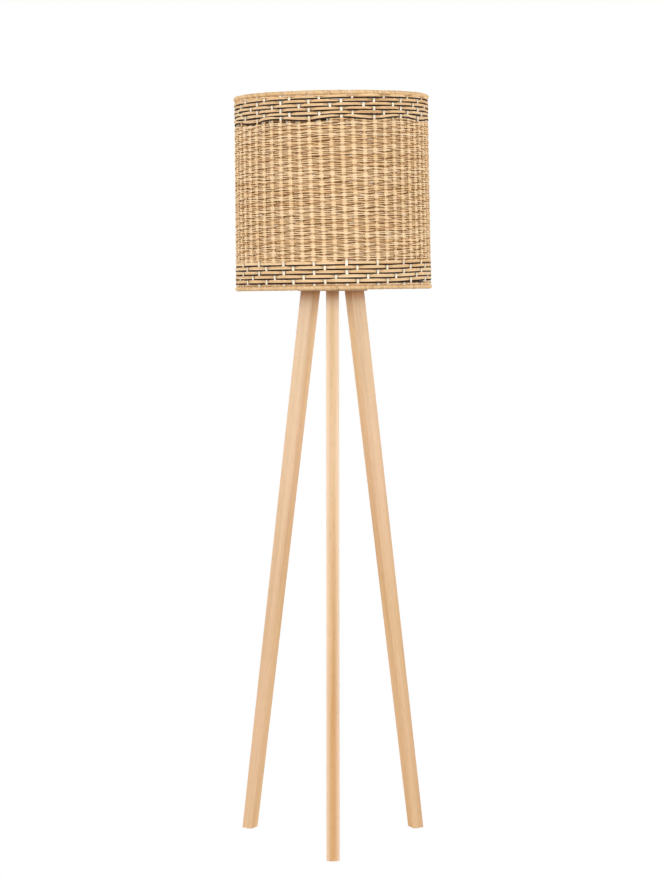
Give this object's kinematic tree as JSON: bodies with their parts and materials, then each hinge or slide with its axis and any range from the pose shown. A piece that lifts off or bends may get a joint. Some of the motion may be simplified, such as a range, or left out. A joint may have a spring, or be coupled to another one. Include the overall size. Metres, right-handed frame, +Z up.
{
  "type": "tripod floor lamp",
  "caption": "Floor lamp with slim tapered wooden tripod legs, a round top plate, a screw lampholder and a woven drum shade with dark banded borders.",
  "frame": {"origin": "on the floor, on the upright axis through the top plate, the lampholder and the shade; within 8 mm of the bottom centre of the bounding box", "axes": "+Z up; the front leg points along -Y and the two rear legs along 30 and 150 degrees from +X"},
  "size_m": [0.388, 0.4031, 1.495],
  "materials": {
    "beech": "clear matt lacquer over pale beech",
    "zinc_steel": "zinc plated",
    "brass": "turned, unpolished",
    "nylon": "moulded, natural white",
    "black_plastic": "moulded, satin black",
    "porcelain": "unglazed steatite",
    "frame_steel": "powder coated, straw colour",
    "natural_cord": "twisted natural fibre cord",
    "dark_cord": "dyed dark brown fibre cord",
    "pale_strip": "pale flat split cane",
    "bulb_glass": "clear blown glass",
    "filament": "phosphor coated, unlit",
    "circuit_board": "solder mask",
    "nickel": "nickel plated"
  },
  "bodies": {
    "stand": {"top_plate": "beech", "front_leg": "beech", "left_leg": "beech", "right_leg": "beech", "leg_bolts": "zinc_steel", "bolt_washers": "zinc_steel", "leg_inserts": "brass", "leg_dowels": "beech", "foot_glides": "nylon", "glide_nails": "zinc_steel", "threaded_nipple": "brass", "nipple_nut": "brass", "nut_washer": "zinc_steel", "cable_bush": "nylon", "holder_washer": "zinc_steel", "holder_dome": "black_plastic", "holder_shell": "black_plastic", "contact_block": "porcelain", "screw_shell": "brass", "centre_contact": "brass", "side_contact": "brass", "terminal_screws": "zinc_steel"},
    "shade": {"fitter_ring": "frame_steel", "spider_arms": "frame_steel", "frame_uprights": "frame_steel", "bottom_ring_wire": "frame_steel", "top_ring_wire": "frame_steel", "stakes": "pale_strip", "shade_skin": "natural_cord", "bottom_rim_wrap": "natural_cord", "top_rim_wrap": "natural_cord", "upper_dark_strands": "dark_cord", "lower_dark_strands": "dark_cord"},
    "clamp_ring": {"shade_clamp_ring": "black_plastic"},
    "bulb": {"bulb_glass": "bulb_glass", "bulb_stem": "bulb_glass", "bulb_filaments": "filament", "bulb_supports": "zinc_steel", "bulb_driver": "circuit_board", "bulb_cap": "nickel", "bulb_insulator": "black_plastic", "bulb_tip": "nickel"}
  },
  "joints": [
    {"name": "shade_swivel", "type": "hinge", "parent": "stand", "child": "shade", "pos_m": [0, 0, 1.178], "axis": [0, 0, 1], "continuous": true},
    {"name": "clamp_ring_unscrew", "type": "slide", "parent": "stand", "child": "clamp_ring", "axis": [0, 0, 1], "range_m": [0, 0.019]},
    {"name": "bulb_unscrew", "type": "slide", "parent": "stand", "child": "bulb", "axis": [0, 0, 1], "range_m": [0, 0.03]}
  ]
}
